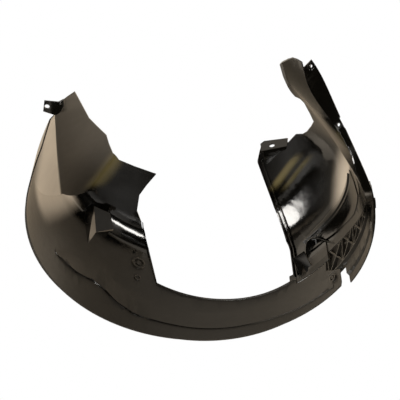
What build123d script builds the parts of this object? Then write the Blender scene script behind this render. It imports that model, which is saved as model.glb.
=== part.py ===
"""Front wheel arch liner, left side: one moulded plastic shell that lines the arch around the wheel.

Millimetres. X runs to the rear of the car, Y inboard, Z up. The origin is on the wheel's axis, in the
plane of the arch lip. Angles around the arch are measured from the crown, positive towards the rear.
"""
import os
from collections import namedtuple
from math import cos, radians, sin

from build123d import *

# Driving sizes
wall = 2.6
lip_radius = 345.0
wall_depth = 290.0
crown_shoulder = 336.0
shoulder_bend = 46.0
fold_bend = 34.0
bead_height = 4.0
bead_width = 3.0
rib = 2.2

# Distance into a wall that a moulded-on feature is sunk, so that the two are one
sunk = 0.9

# Past every edge of the shell, for cuts that run right through
beyond = 520.0
outboard_of_lip = -25.0

# One cross-section of the shell: the lip, the corner where tread and side wall would meet, the free end of
# the side wall, and the radius of the bend at the corner
Station = namedtuple("Station", "angle lip_r lip_y corner_r corner_y end_r end_y bend")

crown_from = -66
crown_to = 40
rear_to = 140
crown_section = Station(
    crown_to, lip_radius, outboard_of_lip, crown_shoulder, wall_depth, 110, wall_depth, shoulder_bend
)

# The rear panel is flat: it leaves the inner wall along a rounded fold and reaches the tread along a ridge,
# and a facet takes off the corner between panel and tread
fold_at = Vector(194.9, wall_depth, 51.2)
fold_run = Vector(0.5553, 0, 0.8317)
ridge_low = Vector(312.6, 249.2, 126.2)
ridge_high = Vector(288.9, 142, -172.9)
facet_edge = Vector(337.3, 100, -53.4)
panel_facing = (ridge_low - fold_at).cross(fold_run).normalized()
facet_facing = (ridge_high - ridge_low).cross(facet_edge - ridge_low).normalized()

front_stations = [
    Station(-30, 342.4, 118, 338.4, wall_depth, 90, wall_depth, 96),
    Station(-46, 342.4, 118, 338.4, wall_depth, 90, wall_depth, 96),
    Station(-62, 342.4, 118, 338.4, wall_depth, 90, wall_depth, 96),
    Station(-78, 342, 95, 334, 286, 90, wall_depth, 96),
    Station(-92, 337, 50, 312, 275, 90, wall_depth, 100),
    Station(-106, 331, 6, 280, 255, 90, wall_depth + 6, 110),
    Station(-116, 330, 10, 262, 244, 90, 300, 95),
    Station(-126, 335, 34, 256, 240, 110, 305, 75),
    Station(-134, 325, 90, 258, 242, 130, 312, 60),
    Station(-141, 326, 158, 270, 256, 145, 328, 45),
    Station(-147, 340, 205, 282, 268, 155, 340, 35),
]


def radial_plane(angle):
    """The half plane through the wheel's axis at an angle around the arch: x is the radius, y the depth."""
    a = radians(angle)
    return Plane(origin=(0, 0, 0), x_dir=(sin(a), 0, cos(a)), z_dir=(-cos(a), 0, sin(a)))


def tangent_plane(angle, radius, depth):
    """A plane on the tread at an angle, facing away from the wheel: x runs to the rear, y inboard."""
    a = radians(angle)
    return Plane(
        origin=(radius * sin(a), depth, radius * cos(a)), x_dir=(cos(a), 0, -sin(a)), z_dir=(sin(a), 0, cos(a))
    )


def moved(first, corner, last, gap):
    """Two straight runs that meet at a corner, moved to their right by a gap."""
    runs = [(corner - first).normalized(), (last - corner).normalized()]
    sides = [Vector(run.Y, -run.X) for run in runs]
    turn = (sides[0] + sides[1]).normalized()
    return [first + sides[0] * gap, corner + turn * (gap / turn.dot(sides[0])), last + sides[1] * gap]


def profile(station, gap):
    """A section's three points from lip to free end, moved away from the wheel by a gap."""
    lip = Vector(station.lip_r, station.lip_y)
    corner = Vector(station.corner_r, station.corner_y)
    return moved(lip, corner, Vector(station.end_r, station.end_y), gap)


def section(station, inner_gap, outer_gap):
    """The cross-section of a skin between two distances from the shell's wheel side."""
    with BuildSketch(radial_plane(station.angle)) as face:
        with BuildLine():
            inside = FilletPolyline(*profile(station, inner_gap), radius=station.bend + inner_gap)
            outside = FilletPolyline(*profile(station, outer_gap)[::-1], radius=station.bend + outer_gap)
            Line(inside @ 1, outside @ 0)
            Line(outside @ 1, inside @ 0)
        make_face()
    return face.sketch


def rear_room(gap, start):
    """The space on the wheel side of the rear of the shell, grown by a gap, from an angle to the foot."""
    fold_plane = Plane(origin=fold_at, x_dir=fold_run.cross(panel_facing), z_dir=fold_run)
    inner_wall = fold_plane.to_local_coords(fold_at + fold_run.cross(Vector(0, 1, 0)) * beyond)
    rows = moved(Vector(beyond, 0), Vector(0, 0), Vector(inner_wall.X, inner_wall.Y), gap)
    with BuildPart() as room:
        with BuildSketch(radial_plane(start)):
            with BuildLine():
                inside = FilletPolyline(*profile(crown_section, gap), radius=shoulder_bend + gap)
                Polyline(inside @ 1, (crown_section.end_r, outboard_of_lip), inside @ 0)
            make_face()
        revolve(axis=Axis.Y, revolution_arc=rear_to - start)
        with BuildSketch(fold_plane.offset(-beyond)):
            with BuildLine():
                fold = FilletPolyline(*rows, radius=fold_bend + gap)
                Polyline(fold @ 1, (rows[2].X, -2 * beyond), (beyond, -2 * beyond), fold @ 0)
            make_face()
        extrude(amount=2 * beyond, mode=Mode.INTERSECT)
        with BuildSketch(Plane(origin=ridge_low - facet_facing * gap, z_dir=facet_facing)):
            Rectangle(4 * beyond, 4 * beyond)
        extrude(amount=2 * beyond, mode=Mode.INTERSECT)
    return room.part


def polygon(plane, points):
    """A flat face with the given corners."""
    with BuildSketch(plane) as face:
        with BuildLine():
            Polyline(*points, close=True)
        make_face()
    return face.sketch


def through(faces):
    """A solid that runs smoothly through a row of faces."""
    with BuildPart() as body:
        loft(sections=faces)
    return body.part


def skin(stations, inner_gap, outer_gap):
    """A skin of the shell through its stations, between two distances from its wheel side."""
    return through([section(s, inner_gap, outer_gap) for s in stations])


def swept(face, arc):
    """A face turned around the wheel's axis."""
    with BuildPart() as body:
        revolve(face, axis=Axis.Y, revolution_arc=arc)
    return body.part


def ring(r_in, r_out, y_from, y_to, angle_from, angle_to):
    """A band around the wheel's axis."""
    corners = [(r_in, y_from), (r_out, y_from), (r_out, y_to), (r_in, y_to)]
    return swept(polygon(radial_plane(angle_from), corners), angle_to - angle_from)


def prism(plane, points, amount):
    """A straight block with the given outline."""
    with BuildPart() as body:
        extrude(polygon(plane, points), amount=amount)
    return body.part


def tread_radius(depth):
    """The radius of the wheel side of the crown's tread at a depth."""
    slope = (crown_shoulder - lip_radius) / (wall_depth - outboard_of_lip)
    return lip_radius + slope * (depth - outboard_of_lip)


# Crown and rear of the shell
rear_opening = [
    (290, -171),
    (274, -204),
    (260, -214),
    (245, -222),
    (242, -204),
    (229, -121),
    (217, -84),
    (202, -40),
    (200, -7),
    (195, 37),
    (183, 61),
    (148, 80),
    (100, 102),
    (123, 135),
    (141, 165),
    (149, 215),
    (141, 247),
]
crown_edge = [(100, 155), (29, 132), (-62, 113), (-135, 105), (-224, 111)]
crown_edge_end = [(141, 291), (132, 283), (123, 257)]
tongue = [(-246, 109), (-249, 153), (-283, 130), (-279, 73), (-303, 42), (-303, 6), (-296, -30)]
foot = [(0, -100), (55, -158), (134, -171)]

# Flanges that turn outwards along the lip: angle and radius at the start, middle and end
lip_flanges = [
    ((50, 345.2), (80, 349), (108, 345.2)),
    ((12, 345.0), (-12, 350.5), (-37, 345.0)),
]
flange_root = 344.6
flange_depth = 2.4


def on_circle(angle, radius):
    """A point seen from the side, at an angle around the arch."""
    return radius * sin(radians(angle)), radius * cos(radians(angle))


with BuildSketch(Plane.XY.offset(100)) as crown_opening:
    with BuildLine():
        edge = Spline(*crown_edge)
        Polyline(
            edge @ 1, *tongue, (-beyond, -30), (-beyond, beyond), (141, beyond), *crown_edge_end, edge @ 0
        )
    make_face()

# At the rear the cut stops above the side wall
with BuildPart() as crown_cut:
    extrude(crown_opening.sketch, amount=beyond)
    with Locations((300, 250, 160)):
        Box(500, 700, 130, mode=Mode.SUBTRACT)

# The raised bead along the inboard edge of the crown
with BuildPart() as crown_bead:
    add(swept(section(crown_section, -bead_height, sunk), crown_from - crown_to))
    with BuildSketch(Plane.XY.offset(225)):
        with BuildLine():
            bead_edge = Spline(*[(x, y - bead_width) for x, y in crown_edge])
            Polyline(
                bead_edge @ 1, (-224, 180), (90, 180), (90, 300), (141 + bead_width, 300),
                (132 + bead_width, 283), (123 + bead_width, 257), bead_edge @ 0
            )
        make_face()
    extrude(amount=beyond, mode=Mode.INTERSECT)

# The crease along the crown: the inboard part stands nearer the wheel and fades back into the tread
Crease = namedtuple("Crease", "angle depth height fade")
crease_rows = [
    [
        Crease(66, 74, 1, 26),
        Crease(61, 72, 4, 40),
        Crease(56, 73, 5, 55),
        Crease(49, 79, 5, 62),
        Crease(42, 83, 5, 66),
        Crease(37, 71, 5, 66),
        Crease(32, 56, 5, 66),
        Crease(27, 46, 4.5, 66),
    ],
    [
        Crease(27, 46, 4.5, 66),
        Crease(20, 42, 4, 64),
        Crease(12, 38, 3.5, 60),
        Crease(-2, 30, 3.2, 60),
        Crease(-17, 27, 3.2, 60),
        Crease(-33, 24, 3, 58),
        Crease(-48, 19, 2.6, 54),
        Crease(-57, 12, 1.5, 50),
    ],
]


def crease_face(c):
    """The cross-section of the crease: a low step that faces outboard and runs out inboard."""
    root = tread_radius(c.depth)
    run_out = tread_radius(c.depth + c.fade)
    points = [(root + sunk, c.depth), (root - c.height, c.depth), (run_out + sunk, c.depth + c.fade)]
    return polygon(radial_plane(c.angle), points)


creases = [through([crease_face(c) for c in row]) for row in crease_rows]

with BuildPart() as main_shell:
    add(rear_room(wall, crown_to))
    add(rear_room(0, crown_to), mode=Mode.SUBTRACT)
    add(swept(section(crown_section, 0, wall), crown_from - crown_to))
    add(crown_bead.part)
    for start, middle, finish in lip_flanges:
        with BuildSketch(Plane.XZ.offset(5)):
            with BuildLine():
                ThreePointArc(on_circle(*start), on_circle(*middle), on_circle(*finish))
                Line(on_circle(*finish), on_circle(finish[0], flange_root))
                ThreePointArc(
                    on_circle(finish[0], flange_root), on_circle(middle[0], flange_root),
                    on_circle(start[0], flange_root)
                )
                Line(on_circle(start[0], flange_root), on_circle(*start))
            make_face()
        extrude(amount=-5 - flange_depth)
    # The lip and the foot, seen from the front
    with BuildSketch(Plane.YZ):
        with BuildLine():
            Polyline(
                (0, beyond), *foot, (foot[-1][0], -beyond), (beyond, -beyond), (beyond, beyond), close=True
            )
        make_face()
    extrude(amount=beyond, both=True, mode=Mode.INTERSECT)
    # The panel's free edge and the opening around the strut, seen from the side
    with BuildSketch(Plane.XZ.offset(-95)):
        with BuildLine():
            Polyline(
                (beyond, -beyond), (beyond, rear_opening[0][1]), *rear_opening, (100, 262), (-beyond, 262),
                (-beyond, -beyond), close=True
            )
        make_face()
    extrude(amount=-beyond, mode=Mode.SUBTRACT)
    # The inboard edge of the crown and the tongue at its front end, seen from above
    add(crown_cut.part, mode=Mode.SUBTRACT)
    for crease in creases:
        add(crease)

# Front bowl and arm, trimmed to their outline as seen from the side
tab_start = Vector(-138, wall_depth, 21.5)
tab_slope = 14
tab_run = Vector(-cos(radians(tab_slope)), 0, -sin(radians(tab_slope)))
tab_length = 62
tab_end = tab_start + tab_run * tab_length
straight_edge = [
    (-219, 263), (-205, 257), (-192, 233), (-176, 197), (-160, 149), (-144, 101), (-132, 64)
]
bowl_outline = [
    *straight_edge,
    (-135, 40),
    (tab_start.X, tab_start.Z),
    (tab_end.X, tab_end.Z),
    (-213, -20),
    (-228, -22),
    (-236, -32),
    (-242, -56),
    (-244, -82),
    (-233, -110),
    (-217, -144),
    (-209, -150),
    (-199, -149),
    (-190, -159),
    (-183, -170),
    (-172, -192),
    (-165, -212),
    (-172, -230),
    (-178, -245),
    (-185, -259),
    (-192, -266),
    (-205, -275),
    (-230, -310),
]
with BuildSketch(Plane.XZ) as bowl_side:
    with BuildLine():
        Polyline(*bowl_outline, (-beyond, -310), (-beyond, 290), (-250, 290), close=True)
    make_face()

# Two raised beads along the straight inboard edge of the bowl
bead_side = Vector(-0.917, -0.4)
edge_bead_height = 5.0
edge_beads = [(-4, 3), (10, 13)]


def beside_edge(distance):
    """The straight edge moved into the bowl by a distance, seen from the side."""
    return [(x + bead_side.X * distance, z + bead_side.Y * distance) for x, z in straight_edge]


with BuildPart() as edge_bead:
    for near, far in edge_beads:
        add(prism(Plane.XZ, beside_edge(near) + beside_edge(far)[::-1], -beyond))
    add(skin(front_stations[:5], -edge_bead_height, sunk), mode=Mode.INTERSECT)

# The band between bowl and tread stands out a little, and the bowl's rim stands out beyond it
front_angle = -67
front_plane = tangent_plane(front_angle, 250, 0)
band_height = 3.0
rim_height = 8.0
band_outline = [
    (140, 204), (140, 170), (116, 164), (59, 158), (-6, 142), (-65, 118), (-118, 112), (-122, 150), (-110, 204)
]
rim_outline = [(138, 199), (80, 199), (20, 199), (-50, 199), (-104, 199), (-50, 209), (20, 213), (80, 209)]
with BuildPart() as band:
    add(skin(front_stations[1:6], -band_height, sunk))
    extrude(polygon(front_plane, band_outline), amount=150, mode=Mode.INTERSECT)
with BuildPart() as rim:
    add(skin(front_stations[1:6], -rim_height, sunk))
    extrude(polygon(front_plane, rim_outline), amount=150, mode=Mode.INTERSECT)

# The flange that turns outwards from the bowl's lip and widens into the plate on the arm
Flange = namedtuple("Flange", "angle r_in r_out depth")
flange_thickness = 3.2
flange_outer = {-46: 352.6, -62: 352.6, -78: 352.6, -92: 352.6, -106: 347.5, -116: 344.5, -126: 347, -134: 352}
flange_rows = [
    Flange(s.angle, s.lip_r + sunk, flange_outer[s.angle], s.lip_y + 0.5)
    for s in front_stations
    if s.angle in flange_outer
]
flange_rows.append(Flange(-141, 326 + sunk, 356, 158.5))
flange_rows.append(Flange(-142.5, 330 + sunk, 356, 170))


def flange_face(f):
    """The cross-section of the flange."""
    far = f.depth + flange_thickness
    return polygon(radial_plane(f.angle), [(f.r_in, f.depth), (f.r_out, f.depth), (f.r_out, far), (f.r_in, far)])


# A notch in the outer edge sets the plate apart from the rest of the flange
with BuildPart() as flange:
    add(through([flange_face(f) for f in flange_rows]))
    add(ring(347, 370, 10, 130, -130.4, -127.6), mode=Mode.SUBTRACT)

# Thickened eyes for the two screws through the flange, seen from the side: centre and outer radius
Eye = namedtuple("Eye", "x z outer")
eyes = [Eye(-216, -273, 7), Eye(-263, -215, 6)]
eye_hole_radius = 3.2
eye_length = 5.2
eye_planes = []
for eye in eyes:
    point, facing = flange.part.find_intersection_points(Axis((eye.x, -50, eye.z), (0, 1, 0)))[0]
    eye_planes.append(Plane(origin=point, z_dir=facing))

# The outer panel: an outboard step, a riser that faces outboard, and the floor under the ribs
Panel = namedtuple("Panel", "angle step floor top")
panel_rows = [
    Panel(-63.5, 357, 351, 130),
    Panel(-76, 354, 350, 112),
    Panel(-88, 350, 347.5, 82),
    Panel(-97, 347.5, 346, 52),
    Panel(-105, 346, 345, 36),
]


def panel_face(p):
    """The cross-section of the outer panel."""
    points = [
        (p.step, 0.4), (p.step, 20), (p.floor, 25), (p.floor, p.top), (p.floor + wall, p.top),
        (p.floor + wall, 27), (p.step + wall, 22), (p.step + wall, 0.4)
    ]
    return polygon(radial_plane(p.angle), points)


# Cross-braced ribs on the floor of the panel: posts, and the two diagonals of each bay
rib_top = 343.2
rib_root = 352.0
posts = [
    ((66, 56), (66, 134)),
    ((17, 57), (7, 124)),
    ((-32, 57), (-44, 116)),
    ((-75, 57), (-82, 104)),
    ((-108, 60), (-112, 90)),
]
diagonals = []
for (left_low, left_high), (right_low, right_high) in zip(posts[:-1], posts[1:]):
    diagonals.append((left_low, right_high))
    diagonals.append((left_high, right_low))
with BuildPart() as braces:
    add(ring(rib_top, rib_root, 40, 140, -42, -96))
    with BuildSketch(front_plane):
        for start, finish in posts + diagonals:
            with BuildLine(mode=Mode.PRIVATE) as brace:
                Line(start, finish)
            trace(brace.line, line_width=rib)
    extrude(amount=150, mode=Mode.INTERSECT)

# The tongue carries the crown strip over the bowl's lip, and a return wall beside it closes the corner
tongue_from = -46.4
tongue_to = -57
tongue_section = [(341.4, 98), (339.3, 112), (339.3, 156), (346, 156), (346, 98)]
return_from = -42
return_to = -48
return_section = [(344.5, 110), (318, 150), (321, 152), (347, 113)]

with BuildPart() as front_shell:
    add(skin(front_stations, 0, wall))
    add(edge_bead.part)
    add(band.part)
    add(rim.part)
    add(swept(polygon(radial_plane(return_from), return_section), return_to - return_from))
    extrude(bowl_side.sketch, amount=-beyond, mode=Mode.INTERSECT)
    add(swept(polygon(radial_plane(tongue_from), tongue_section), tongue_to - tongue_from))
    add(flange.part)
    add(through([panel_face(p) for p in panel_rows]))
    add(ring(348, 351.5, 2, 9, -98, -101.5))
    add(ring(351, 351 + wall, 46, 130, -52, -65))
    add(ring(343, 343 + wall, 100, 130, -37, -50))
    add(ring(rib_top - 1, rib_root, 53, 53 + rib, -55.5, -90))
    add(braces.part)

# Box-shaped bump at the rear shoulder, hollow from behind, with a gusset that runs down to the tread
bump_plane = Plane(origin=(222.1, 260.5, 216.3), x_dir=(-0.835, 0.04, 0.548), z_dir=(-0.451, -0.621, -0.641))
bump_plate = [(-38.1, 19.3), (4.9, 19.3), (27.9, -12.3), (-11.5, -35.9)]
bump_base = [(-46, 26), (8, 26), (38, -14), (-16, -44)]
bump_inner_plate = [(-34.5, 16.5), (3.6, 16.5), (24, -12), (-10.5, -32)]
bump_inner_base = [(-44, 24), (7, 24), (37, -14), (-14, -42)]
gusset_corners = [Vector(248, 274, 185), Vector(243, 232, 229), Vector(257, 184, 221)]
gusset_plane = Plane(
    origin=gusset_corners[0], x_dir=gusset_corners[1] - gusset_corners[0], z_dir=(0.925, 0.218, 0.313)
)
gusset_flat = [gusset_plane.to_local_coords(c) for c in gusset_corners]
bump_from = 30
bump_hollow = through(
    [polygon(bump_plane.offset(-wall), bump_inner_plate), polygon(bump_plane.offset(-60), bump_inner_base)]
)
with BuildPart() as box_bump:
    add(through([polygon(bump_plane, bump_plate), polygon(bump_plane.offset(-45), bump_base)]))
    add(prism(gusset_plane, [(c.X, c.Y) for c in gusset_flat], 40))
    add(rear_room(sunk, bump_from), mode=Mode.INTERSECT)
    add(bump_hollow, mode=Mode.SUBTRACT)

# Round bosses on the wheel side: angle, depth, outer and inner radius of the collar, height, stud radius
Boss = namedtuple("Boss", "angle depth outer inner height stud")
bosses = [
    Boss(25.6, 202, 16, 12.5, 5, 6),
    Boss(27.4, 238, 5, 2.5, 4, 0),
    Boss(25.4, 157, 8, 5.5, 2.5, 0),
    Boss(-57.9, 34, 9.5, 6.5, 5, 3.5),
]
with BuildPart() as studs:
    for b in bosses:
        with BuildSketch(tangent_plane(b.angle, tread_radius(b.depth) + sunk, b.depth)):
            Circle(b.outer)
            Circle(b.inner, mode=Mode.SUBTRACT)
            if b.stud:
                Circle(b.stud)
        extrude(amount=-sunk - b.height)

# Rear tab, on the free edge of the rear panel
rear_tab_depth = 139.5
rear_tab_outline = [(305, -208), (278, -205), (266, -212), (267, -198), (276, -181), (286, -173), (310, -183)]
rear_hole = (301, -194.5)
rear_hole_radius = 5.0
tab_thickness = 2.8
with BuildPart() as rear_tab:
    with BuildSketch(Plane.XZ.offset(-rear_tab_depth)):
        with BuildLine():
            Polyline(*rear_tab_outline, close=True)
        make_face()
        with Locations(rear_hole):
            Circle(rear_hole_radius, mode=Mode.SUBTRACT)
    extrude(amount=-tab_thickness)

# Front tab, along the bowl's lower edge, and the hollow bump that carries it
tab_up = Vector(-sin(radians(tab_slope)), 0, cos(radians(tab_slope)))
tab_outboard = 268.0
tab_inboard = 308.0
front_hole_radius = 6.2
front_hole = (286.5, 25)


def tab_plane(run):
    """A plane across the tab at a distance along it: x inboard, y up from the tab."""
    return Plane(origin=tab_start + tab_run * run - Vector(0, wall_depth, 0), x_dir=(0, 1, 0), z_dir=tab_run * -1)


tab_underside = -0.4
tab_flat = Plane(
    origin=tab_start + tab_up * tab_underside - Vector(0, wall_depth, 0), x_dir=(0, 1, 0), z_dir=tab_up
)
tab_outline = [(273, 0), (300, -1), (tab_inboard, 8), (tab_inboard - 6, tab_length), (273, tab_length - 4)]
bump_left = [(291, 0.2), (272.6, 0.2), (tab_outboard, 4.4), (tab_outboard, 16), (291, 54)]
bump_right = [(291, 0.2), (272.6, 0.2), (tab_outboard, 4.4), (tab_outboard + 2, 6.4), (291, 14)]
hollow_left = [(296, 2.4), (273.6, 2.4), (270.8, 5), (270.8, 15), (296, 56)]
hollow_right = [(296, 2.4), (273.6, 2.4), (270.8, 5), (272.6, 6.6), (296, 13)]
tab_hollow = through([polygon(tab_plane(3 + wall), hollow_left), polygon(tab_plane(56 - wall), hollow_right)])
with BuildPart() as front_tab:
    add(through([polygon(tab_plane(3), bump_left), polygon(tab_plane(56), bump_right)]))
    add(tab_hollow, mode=Mode.SUBTRACT)
    extrude(polygon(tab_flat, tab_outline), amount=tab_thickness)

with BuildPart() as liner:
    add(main_shell.part)
    add(front_shell.part)
    add(bump_hollow, mode=Mode.SUBTRACT)
    add(tab_hollow, mode=Mode.SUBTRACT)
    add(box_bump.part)
    add(studs.part)
    add(rear_tab.part)
    add(front_tab.part)
    with BuildSketch(tab_flat.offset(-1)):
        with Locations(front_hole):
            Circle(front_hole_radius)
    extrude(amount=tab_thickness + 1.2, mode=Mode.SUBTRACT)
    for eye, plane in zip(eyes, eye_planes):
        with BuildSketch(plane.offset(1)):
            Circle(eye.outer)
        extrude(amount=-eye_length)
        with BuildSketch(plane.offset(3)):
            Circle(eye_hole_radius)
        extrude(amount=-eye_length - 4, mode=Mode.SUBTRACT)

os.makedirs("parts", exist_ok=True)
liner.part.label = "wheel_arch_liner"
export_step(liner.part, "parts/wheel_arch_liner.step")
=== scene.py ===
import math

import bmesh
import bpy
from mathutils import Matrix, Vector


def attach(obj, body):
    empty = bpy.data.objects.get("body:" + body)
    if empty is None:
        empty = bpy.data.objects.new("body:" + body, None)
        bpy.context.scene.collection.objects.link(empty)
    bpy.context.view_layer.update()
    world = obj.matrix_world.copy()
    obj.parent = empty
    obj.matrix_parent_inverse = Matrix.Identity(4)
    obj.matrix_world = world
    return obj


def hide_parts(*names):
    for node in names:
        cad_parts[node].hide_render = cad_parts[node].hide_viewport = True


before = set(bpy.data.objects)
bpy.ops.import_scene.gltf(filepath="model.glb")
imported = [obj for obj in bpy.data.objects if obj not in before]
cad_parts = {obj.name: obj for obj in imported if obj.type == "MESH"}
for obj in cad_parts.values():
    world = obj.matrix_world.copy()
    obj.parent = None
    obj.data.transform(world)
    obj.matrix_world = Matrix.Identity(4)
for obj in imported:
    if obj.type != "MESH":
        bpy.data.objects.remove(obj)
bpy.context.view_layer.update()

# The liner is one thin shell, injection moulded in black plastic, part satin and part glossy.
# Its crown strip, walls, bowl, arm, ribs and tabs came out of the mould together,
# and screws and clips through the tabs and the lower flange hold it in the arch.


class Wire:
    """One socket of a node tree, with the sums that the finishes need."""

    def __init__(self, tree, socket=None):
        self.tree = tree
        self.socket = socket

    def node(self, kind, settings=None, inputs=None, out=0):
        made = self.tree.nodes.new(kind)
        for name, value in (settings or {}).items():
            setattr(made, name, value)
        for name, value in (inputs or {}).items():
            if isinstance(value, Wire):
                self.tree.links.new(value.socket, made.inputs[name])
            else:
                made.inputs[name].default_value = value
        return Wire(self.tree, made.outputs[out] if made.outputs else None)

    def math(self, operation, first, second):
        return self.node("ShaderNodeMath", {"operation": operation}, {0: first, 1: second})

    def __add__(self, other):
        return self.math("ADD", self, other)

    def __radd__(self, other):
        return self.math("ADD", other, self)

    def __rsub__(self, other):
        return self.math("SUBTRACT", other, self)

    def __mul__(self, other):
        return self.math("MULTIPLY", self, other)

    def __rmul__(self, other):
        return self.math("MULTIPLY", other, self)


def new_material(name):
    material = bpy.data.materials.new(name)
    material.use_nodes = True
    material.node_tree.nodes.clear()
    return material, Wire(material.node_tree)


def split(vector):
    return [vector.node("ShaderNodeSeparateXYZ", {}, {"Vector": vector}, out=axis) for axis in "XYZ"]


def along(vector, direction):
    return vector.node(
        "ShaderNodeVectorMath", {"operation": "DOT_PRODUCT"}, {0: vector, 1: direction}, out="Value"
    )


def rise(value, edge):
    """A mask that grows from 0 to 1 between the two ends of a soft edge."""
    start, full = edge
    return value.node(
        "ShaderNodeMapRange",
        {"interpolation_type": "SMOOTHSTEP"},
        {"Value": value, "From Min": start, "From Max": full},
    )


def fall(value, edge):
    return 1 - rise(value, edge)


def either(first, *others):
    widest = first
    for mask in others:
        widest = widest.math("MAXIMUM", widest, mask)
    return widest


def blend(factor, first, second):
    return factor.node("ShaderNodeMix", {"data_type": "RGBA"}, {"Factor": factor, 6: first, 7: second}, out=2)


def gloss_and_crease_shade_patches(place, facing):
    """The polished places: deep walls, bowl, arm, rear tab, strip end, outer edge and step, where the step's
    darkest black is painted shade in its crease.
    """
    rear, depth, height = split(place)
    front = 0 - rear
    below = 0 - height
    _, inboard, upward = split(facing)
    outboard = 0 - inboard

    panel_lean = (0.14, 0.26)
    panel_start = (0.0, 0.05)
    leant_panel = rise(upward, panel_lean) * rise(rear, panel_start)

    box_normal = (-0.4509, -0.6212, -0.6413)
    box_match = (0.965, 0.985)
    box_start = (0.18, 0.20)
    box_face = rise(along(facing, box_normal), box_match) * rise(rear, box_start)

    wall_depth = (0.215, 0.245)
    wall_foot = (-0.05, 0.0)
    bowl_rim = (0.255, 0.335)
    deep_walls = rise(depth, wall_depth) * rise(height, wall_foot) * fall(front, bowl_rim)
    deep_walls = deep_walls * (1 - leant_panel) * (1 - box_face)

    band_front = (0.16, 0.20)
    band_foot = (0.05, 0.09)
    band_outer = (0.135, 0.150)
    band_inner = (0.19, 0.21)
    bowl_band = rise(front, band_front) * rise(height, band_foot)
    bowl_band = bowl_band * rise(depth, band_outer) * fall(depth, band_inner)

    plate_normal = (0.6200, -0.5900, -0.5100)
    plate_level = (-0.100, -0.096)
    plate_below = (0.09, 0.11)
    arm_front = (0.12, 0.14)
    arm_below = (0.15, 0.20)
    arm_plate = rise(along(place, plate_normal), plate_level) * rise(below, plate_below)
    arm_ends = either(arm_plate, rise(below, arm_below)) * rise(front, arm_front)

    tab_below = (0.168, 0.178)
    tab_rear = (0.262, 0.272)
    rear_tab = rise(below, tab_below) * rise(rear, tab_rear)

    end_front = (0.190, 0.205)
    end_foot = (0.225, 0.235)
    end_outer = (0.108, 0.116)
    strip_end = rise(front, end_front) * rise(height, end_foot) * rise(depth, end_outer)

    edge_front = (0.27, 0.30)
    edge_inner = (0.10, 0.12)
    edge_top = (0.0, 0.06)
    outer_edge = rise(front, edge_front) * fall(depth, edge_inner) * fall(height, edge_top)

    # The step's wall is polished and darkest black: painted shade in the crease.
    step_facing = (0.60, 0.85)
    step_outer = (0.02, 0.03)
    step_inner = (0.10, 0.12)
    step_front = (-0.15, -0.10)
    step_painted_shade = rise(outboard, step_facing) * rise(rear, step_front)
    step_painted_shade = step_painted_shade * rise(depth, step_outer) * fall(depth, step_inner)

    return either(deep_walls, bowl_band, arm_ends, rear_tab, strip_end, outer_edge, step_painted_shade)


def dust_and_highlight_patches(place, facing):
    """Pale road-dust colour that is also painted highlight where these surfaces catch bright grazing light:
    the rear tread and its facet, the rear panel, the gusset and the bowl's rim.
    """
    rear, depth, height = split(place)
    front = 0 - rear
    rearward, _, upward = split(facing)
    forward = 0 - rearward

    tread_normal = (0.8873, 0.4072, -0.2163)
    tread_level = (0.310, 0.350)
    tread_facing = (0.60, 0.85)
    lip_depth = (0.085, 0.130)
    lip_share = 0.06
    tread_dust_and_highlight = rise(along(place, tread_normal), tread_level) * rise(forward, tread_facing)
    tread_dust_and_highlight = tread_dust_and_highlight * (lip_share + (1 - lip_share) * rise(depth, lip_depth))

    panel_rear = (0.15, 0.20)
    panel_lean = (0.20, 0.30)
    panel_facing = (0.30, 0.45)
    panel_depth = (0.215, 0.275)
    panel_share = 0.05
    panel_dust_and_highlight = rise(rear, panel_rear) * rise(upward, panel_lean)
    panel_dust_and_highlight = panel_dust_and_highlight * rise(forward, panel_facing) * fall(depth, panel_depth)

    gusset_depth = (0.190, 0.205)
    gusset_foot = (0.19, 0.20)
    gusset_facing = (0.86, 0.90)
    gusset_share = 0.35
    gusset_dust_and_highlight = rise(depth, gusset_depth) * rise(height, gusset_foot) * rise(forward, gusset_facing)

    rim_front = (0.295, 0.330)
    rim_depth = (0.190, 0.215)
    rim_foot = (-0.10, -0.02)
    rim_facing = (0.50, 0.80)
    rim_dust_and_highlight = rise(front, rim_front) * rise(depth, rim_depth)
    rim_dust_and_highlight = rim_dust_and_highlight * rise(height, rim_foot) * rise(rearward, rim_facing)

    return either(tread_dust_and_highlight, panel_dust_and_highlight * panel_share, gusset_dust_and_highlight * gusset_share, rim_dust_and_highlight)


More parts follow.
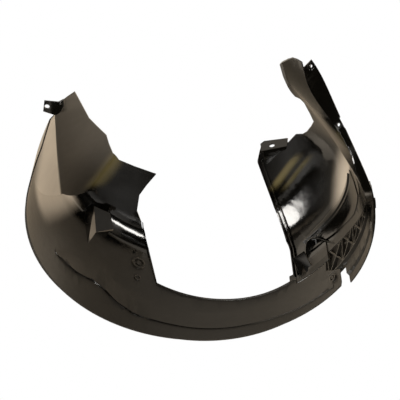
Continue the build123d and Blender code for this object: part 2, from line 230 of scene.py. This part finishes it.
def painted_amber_reflections(place, facing):
    """Amber colour painted as a reflection of warm light: a band along the rear fold, and two streaks on the
    bowl's flat wall.
    """
    rear, depth, height = split(place)
    front = 0 - rear
    _, inboard, _ = split(facing)
    outboard = 0 - inboard

    fold_normal = (-0.8317, 0, 0.5553)
    fold_offset = 0.1337
    fold_start = (-0.024, 0.006)
    fold_stop = (0.004, 0.036)
    fold_depth = (0.25, 0.27)
    fold_rear = (0.15, 0.19)
    fold_top = (0.12, 0.15)
    fold_facing = (0.30, 0.60)
    past_fold = along(place, fold_normal) + fold_offset
    fold_painted_reflection = rise(past_fold, fold_start) * fall(past_fold, fold_stop) * rise(depth, fold_depth)
    fold_painted_reflection = fold_painted_reflection * rise(rear, fold_rear) * fall(height, fold_top) * rise(outboard, fold_facing)

    across_bowl = along(place, (0.89, 0, -0.456))
    wide_start = (-0.234, -0.217)
    wide_stop = (-0.217, -0.204)
    thin_start = (-0.254, -0.243)
    thin_stop = (-0.242, -0.233)
    thin_share = 0.6
    wide_streak = rise(across_bowl, wide_start) * fall(across_bowl, wide_stop)
    thin_streak = rise(across_bowl, thin_start) * fall(across_bowl, thin_stop) * thin_share

    bowl_front = (0.15, 0.16)
    bowl_depth = (0.275, 0.285)
    bowl_facing = (0.80, 0.95)
    streak_foot = (0.03, 0.07)
    streak_top = (0.12, 0.16)
    bowl_wall = rise(front, bowl_front) * rise(depth, bowl_depth) * rise(outboard, bowl_facing)
    bowl_painted_reflection = either(wide_streak, thin_streak) * bowl_wall
    bowl_painted_reflection = bowl_painted_reflection * rise(height, streak_foot) * fall(height, streak_top)

    return either(fold_painted_reflection, bowl_painted_reflection)


def liner_plastic():
    pitch_black = (0.0014, 0.0012, 0.0008, 1)
    deep_black = (0.0065, 0.0060, 0.0050, 1)
    worn_black = (0.0180, 0.0160, 0.0130, 1)
    # Pale dust colour, laid on as painted highlight where the surfaces catch grazing light.
    pale_dust_and_highlight = (0.55, 0.475, 0.385, 1)
    # Amber colour of the painted reflection of warm light along the fold and on the bowl.
    painted_reflection_amber = (0.085, 0.070, 0.030, 1)
    dust_sheen = (1, 0.86, 0.68, 1)
    satin_skin = 0.36
    satin_spread = 0.20
    gloss_skin = 0.10
    gloss_spread = 0.08
    edge_round = 0.0011
    drawn_out = (14, 90, 14)
    thin_dust_and_highlight = 0.7
    cloudy_dust_and_highlight = 0.5

    material, at = new_material("liner_plastic")
    place = at.node("ShaderNodeTexCoord", out="Object")
    facing = at.node("ShaderNodeTexCoord", out="Normal")
    gloss_and_crease_shade = gloss_and_crease_shade_patches(place, facing)
    dust_and_highlight = dust_and_highlight_patches(place, facing)
    painted_reflection = painted_amber_reflections(place, facing)

    cloud = at.node("ShaderNodeTexNoise", {}, {"Vector": place, "Scale": 9, "Detail": 4})
    mottle = at.node("ShaderNodeTexNoise", {}, {"Vector": place, "Scale": 60, "Detail": 5})
    drawn = at.node("ShaderNodeMapping", {}, {"Vector": place, "Scale": drawn_out})
    rub = at.node("ShaderNodeTexNoise", {}, {"Vector": drawn, "Scale": 3, "Detail": 6, "Roughness": 0.65})
    rubbed = at.node("ShaderNodeMapRange", {}, {"Value": rub, "From Min": 0.54, "From Max": 0.72})
    worn = cloud * 0.5 + mottle * 0.2 + rubbed * 0.3
    wear = mottle * 0.35 + rubbed * 0.45 + cloud * 0.2
    black = blend(gloss_and_crease_shade, blend(worn, deep_black, worn_black), pitch_black)
    # The pale colour is dust and painted highlight; over it goes the amber painted reflection.
    dusted_and_highlit = blend(dust_and_highlight * (thin_dust_and_highlight + cloud * cloudy_dust_and_highlight), black, pale_dust_and_highlight)
    colour = blend(painted_reflection, dusted_and_highlit, painted_reflection_amber)

    swell = at.node("ShaderNodeTexNoise", {}, {"Vector": place, "Scale": 13, "Detail": 2})
    grain = at.node("ShaderNodeTexNoise", {}, {"Vector": place, "Scale": 700, "Detail": 3})
    rounded = at.node("ShaderNodeBevel", {"samples": 6}, {"Radius": edge_round})
    waved = at.node(
        "ShaderNodeBump", {}, {"Strength": 1, "Distance": 0.0012, "Height": swell, "Normal": rounded}
    )
    skin = at.node(
        "ShaderNodeBump", {}, {"Strength": 0.5, "Distance": 0.00006, "Height": grain, "Normal": waved}
    )
    satin = at.node(
        "ShaderNodeBsdfPrincipled",
        {},
        {
            "Base Color": colour,
            "Roughness": satin_skin + wear * satin_spread,
            "IOR": 1.42,
            "Sheen Weight": 0.4,
            "Sheen Roughness": 0.4,
            "Sheen Tint": dust_sheen,
            "Normal": skin,
        },
    )
    polished = at.node(
        "ShaderNodeBsdfPrincipled",
        {},
        {"Base Color": colour, "Roughness": gloss_skin + wear * gloss_spread, "IOR": 1.65, "Normal": skin},
    )
    plastic = at.node("ShaderNodeMixShader", {}, {0: gloss_and_crease_shade, 1: satin, 2: polished})
    at.node("ShaderNodeOutputMaterial", {}, {"Surface": plastic})
    return material


bpy.ops.object.select_all(action="DESELECT")
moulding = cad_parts["wheel_arch_liner"]
moulding.select_set(True)
bpy.context.view_layer.objects.active = moulding
bpy.ops.object.duplicate()
liner = bpy.context.object
liner.name = "liner_shell"
liner.data.name = "liner_shell"
for stray in [key for key in liner.keys() if key.startswith("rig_")]:
    del liner[stray]

same_point = 0.00001
bpy.ops.object.mode_set(mode="EDIT")
bpy.ops.mesh.select_all(action="SELECT")
bpy.ops.mesh.remove_doubles(threshold=same_point)
bpy.ops.object.mode_set(mode="OBJECT")

sharp_fold = math.radians(7)
bpy.ops.object.shade_smooth_by_angle(angle=sharp_fold)

# The crown strip and the rear tread are smooth sheets, so slight folds of the mesh there aren't sharp.
strip_fold = math.radians(18)
strip_front = -0.18
strip_depth = 0.20
strip_foot = -0.06
shell = bmesh.new()
shell.from_mesh(liner.data)
for edge in shell.edges:
    middle = (edge.verts[0].co + edge.verts[1].co) / 2
    on_strip = middle.x > strip_front and middle.y < strip_depth and middle.z > strip_foot
    if on_strip and len(edge.link_faces) == 2 and edge.calc_face_angle() < strip_fold:
        edge.smooth = True
shell.to_mesh(liner.data)
shell.free()

even = liner.modifiers.new("even", "WEIGHTED_NORMAL")
even.mode = "FACE_AREA"
even.weight = 100
even.keep_sharp = True
bpy.ops.object.modifier_apply(modifier="even")

liner.data.materials.clear()
liner.data.materials.append(liner_plastic())
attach(liner, "root")
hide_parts("wheel_arch_liner")

# The studio is a pale floor below the liner and the camera, a white surround and two long soft lamps.
# Black curtains around the camera, a black cloth on the floor and grey cloths behind the liner
# are seen in its gloss alone: they are hidden from the camera and throw no shadow.


def plain_finish(name, colour):
    material, at = new_material(name)
    matt = at.node(
        "ShaderNodeBsdfPrincipled", {}, {"Base Color": colour, "Roughness": 0.9, "Specular IOR Level": 0}
    )
    at.node("ShaderNodeOutputMaterial", {}, {"Surface": matt})
    return material


def stage_card(name, size, centre, facing, colour):
    bpy.ops.object.select_all(action="DESELECT")
    bpy.ops.mesh.primitive_plane_add(size=1)
    card = bpy.context.object
    card.name = name
    width, height = size
    turn = Vector(facing).to_track_quat("Z", "Y").to_matrix().to_4x4()
    stretch = Matrix.Diagonal((width, height, 1, 1))
    card.data.transform(Matrix.Translation(centre) @ turn @ stretch)
    card.data.materials.append(plain_finish(name, colour))
    return card


floor_level = -1.45
floor_grey = (0.84, 0.84, 0.84, 1)
face_up = (0, 0, 1)
stage_card("floor", (12, 12), (0, 0, floor_level), face_up, floor_grey)

aim = Vector((0, 0.7361, 0.6769))
eye = Vector((0, -1.3986, -1.2861))
behind_eye = eye - aim * 0.5
above_floor = floor_level + 0.01
black_cloth = (0.01, 0.01, 0.01, 1)
grey_cloth = (0.20, 0.18, 0.15, 1)
curtains = [
    stage_card("low_curtain", (3.6, 2.6), behind_eye, aim, black_cloth),
    stage_card("back_curtain", (7.0, 8.6), (0, -2.9, 3.3), (0, 1, 0), black_cloth),
    stage_card("front_wing", (3.0, 6.0), (-3.4, -1.5, 1.5), (1, 0, 0), black_cloth),
    stage_card("rear_wing", (3.0, 6.0), (3.4, -1.5, 1.5), (-1, 0, 0), black_cloth),
    stage_card("floor_cloth", (6.8, 3.8), (0, -1.0, above_floor), face_up, black_cloth),
    stage_card("far_cloth", (2.2, 2.2), (0.60, 1.60, 1.75), (-0.25, -0.65, -0.72), grey_cloth),
    stage_card("side_cloth", (1.8, 1.6), (-1.30, 1.50, -0.15), (0.66, -0.74, 0.08), grey_cloth),
]
for curtain in curtains:
    curtain.visible_camera = False
    curtain.visible_diffuse = False
    curtain.visible_shadow = False


def soft_lamp(name, towards, lean, width, height, watts):
    distance = 2.2
    lamp = bpy.data.lights.new(name, "AREA")
    lamp.shape = "RECTANGLE"
    lamp.size = width
    lamp.size_y = height
    lamp.energy = watts
    lamp.color = (1, 0.97, 0.92)
    holder = bpy.data.objects.new(name, lamp)
    bpy.context.scene.collection.objects.link(holder)
    spot = Vector(towards).normalized() * distance
    tilt = Matrix.Rotation(math.radians(lean), 4, "Z")
    turn = spot.to_track_quat("Z", "Y").to_matrix().to_4x4() @ tilt
    holder.matrix_world = Matrix.Translation(spot) @ turn


soft_lamp("front_lamp", towards=(-0.52, -0.83, -0.17), lean=0, width=0.4, height=1.1, watts=28)
soft_lamp("rear_lamp", towards=(0.678, -0.735, 0.012), lean=59, width=0.5, height=2.2, watts=62)

world = bpy.data.worlds.new("white_surround")
bpy.context.scene.world = world
world.use_nodes = True
world.node_tree.nodes.clear()
sky = Wire(world.node_tree)
camera_ray = sky.node("ShaderNodeLightPath", out="Is Camera Ray")
glossy_ray = sky.node("ShaderNodeLightPath", out="Is Glossy Ray")
clear_ray = sky.node("ShaderNodeLightPath", out="Is Transmission Ray")
seen = sky.math("MINIMUM", camera_ray + glossy_ray + clear_ray, 1)
surround_light = 0.62
warm_white = (1, 0.88, 0.72, 1)
plain_white = (1, 1, 1, 1)
tint = blend(camera_ray, warm_white, plain_white)
strength = surround_light + (1 - surround_light) * seen
glow = sky.node("ShaderNodeBackground", {}, {"Color": tint, "Strength": strength})
sky.node("ShaderNodeOutputWorld", {}, {"Surface": glow})

# The camera stands below the arch's open side, where the picture was taken,
# and is rolled over so that the crown lies at the bottom of the frame.
lens = bpy.data.cameras.new("camera")
lens.lens = 85.3
lens.sensor_width = 36
lens.shift_x = 0.00125
lens.shift_y = 0.0675
lens.clip_start = 0.05
camera = bpy.data.objects.new("camera", lens)
bpy.context.scene.collection.objects.link(camera)
right = Vector((-1, 0, 0))
up = right.cross(aim)
camera.matrix_world = Matrix.Translation(eye) @ Matrix((right, up, -aim)).transposed().to_4x4()
bpy.context.scene.camera = camera

bpy.context.scene.view_settings.view_transform = "Standard"
